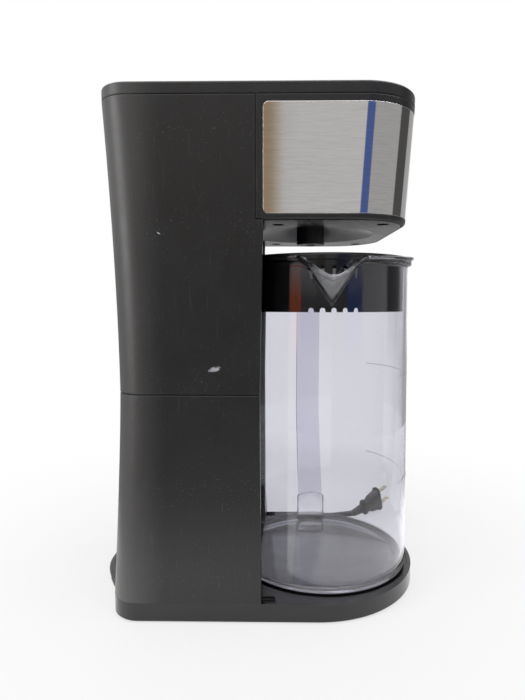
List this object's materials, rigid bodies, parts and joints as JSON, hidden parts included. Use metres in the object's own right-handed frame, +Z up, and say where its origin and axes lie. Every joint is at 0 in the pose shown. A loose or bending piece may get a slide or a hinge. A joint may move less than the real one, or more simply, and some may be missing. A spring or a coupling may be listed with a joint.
{
  "type": "cold brew coffee maker",
  "caption": "Upright coffee maker with a pinched black column, a steel-banded head under a hinged lid, a clear lidded pitcher with a spout and loop handle on the base, and a mains lead.",
  "frame": {"origin": "on the worktop, under the middle of the base, at the centre foot's face", "axes": "+Z up, +X to the front, where the buttons are, +Y to the side of the pitcher's handle"},
  "size_m": [0.2737, 0.256, 0.3609],
  "materials": {
    "black_gloss": "glossy injection-moulded black",
    "black_satin": "satin black",
    "black_lid": "glossy black",
    "clear_plastic": "clear moulded plastic",
    "smoke_tank": "smoky translucent plastic",
    "steel_band": "brushed along its length",
    "bare_steel": "plain steel",
    "button_plastic": "satin dark grey",
    "lens": "clear pale lens",
    "board": "green circuit board",
    "soft_rubber": "soft dark rubber",
    "cord_black": "satin black sheath",
    "plug_brass": "polished"
  },
  "bodies": {
    "machine": {"base_tray": "black_gloss", "base_plate": "black_satin", "rubber_feet": "soft_rubber", "base_screws": "bare_steel", "lower_housing": "black_gloss", "upper_housing": "black_gloss", "head_housing": "black_gloss", "steel_band": "steel_band", "head_bottom_cover": "black_satin", "cover_screws": "bare_steel", "outlet_nozzle": "black_satin", "nozzle_seal": "soft_rubber", "top_deck": "black_satin", "deck_screws": "bare_steel", "hinge_pins": "bare_steel", "water_tank": "smoke_tank", "tank_grommet": "soft_rubber", "tank_strainer": "black_satin", "pump_bracket": "bare_steel", "pump_motor": "bare_steel", "pump_housing": "black_satin", "pump_cover": "black_satin", "inlet_hose": "soft_rubber", "feed_hose": "soft_rubber", "control_panel": "black_gloss", "indicator_lenses": "lens", "control_board": "board", "board_bracket": "black_satin", "power_board": "board", "strain_relief": "cord_black", "cord_machine_end": "cord_black", "cord_coil": "cord_black", "cord_tie": "cord_black", "cord_plug_end": "cord_black", "plug_body": "cord_black", "plug_blades": "plug_brass"},
    "lid": {"top_lid": "black_gloss", "shower_plate": "black_satin"},
    "basket": {"brew_basket": "black_satin"},
    "filter": {"mesh_filter": "bare_steel"},
    "power_key": {"power_button": "button_plastic"},
    "strength_key": {"strength_button": "button_plastic"},
    "clean_key": {"clean_button": "button_plastic"},
    "pump_rotor": {"impeller": "black_satin"},
    "pitcher": {"pitcher_body": "clear_plastic"},
    "pitcher_cover": {"pitcher_lid": "black_lid"}
  },
  "joints": [
    {"name": "lid_hinge", "type": "hinge", "parent": "machine", "child": "lid", "pos_m": [-0.1101, 0, 0.3567], "axis": [0, -1, 0], "range_deg": [0, 85]},
    {"name": "basket_lift", "type": "slide", "parent": "machine", "child": "basket", "axis": [0, 0, 1], "range_m": [0, 0.06]},
    {"name": "filter_lift", "type": "slide", "parent": "basket", "child": "filter", "axis": [0, 0, 1], "range_m": [0, 0.03]},
    {"name": "power_press", "type": "slide", "parent": "machine", "child": "power_key", "axis": [-1, 0, 0], "range_m": [0, 0.0012], "stiffness_N_per_m": 300, "springref_m": -0.0006},
    {"name": "strength_press", "type": "slide", "parent": "machine", "child": "strength_key", "axis": [-1, 0, 0], "range_m": [0, 0.0012], "stiffness_N_per_m": 300, "springref_m": -0.0006},
    {"name": "clean_press", "type": "slide", "parent": "machine", "child": "clean_key", "axis": [-1, 0, 0], "range_m": [0, 0.0012], "stiffness_N_per_m": 300, "springref_m": -0.0006},
    {"name": "pump_spin", "type": "hinge", "parent": "machine", "child": "pump_rotor", "pos_m": [-0.07483, 0.012, 0.07], "axis": [0, 0, 1], "continuous": true},
    {"name": "pitcher_slide", "type": "slide", "parent": "machine", "child": "pitcher", "axis": [0.9746, 0, 0.2242], "range_m": [0, 0.046]},
    {"name": "pitcher_lid_turn", "type": "hinge", "parent": "pitcher", "child": "pitcher_cover", "pos_m": [0.0389, 0, 0.25], "axis": [0, 0, 1], "continuous": true}
  ],
  "couplings": [
    {"joint": "basket_lift", "follows": "lid_hinge", "m_per_rad": 0.04},
    {"joint": "filter_lift", "follows": "lid_hinge", "m_per_rad": 0.02}
  ]
}
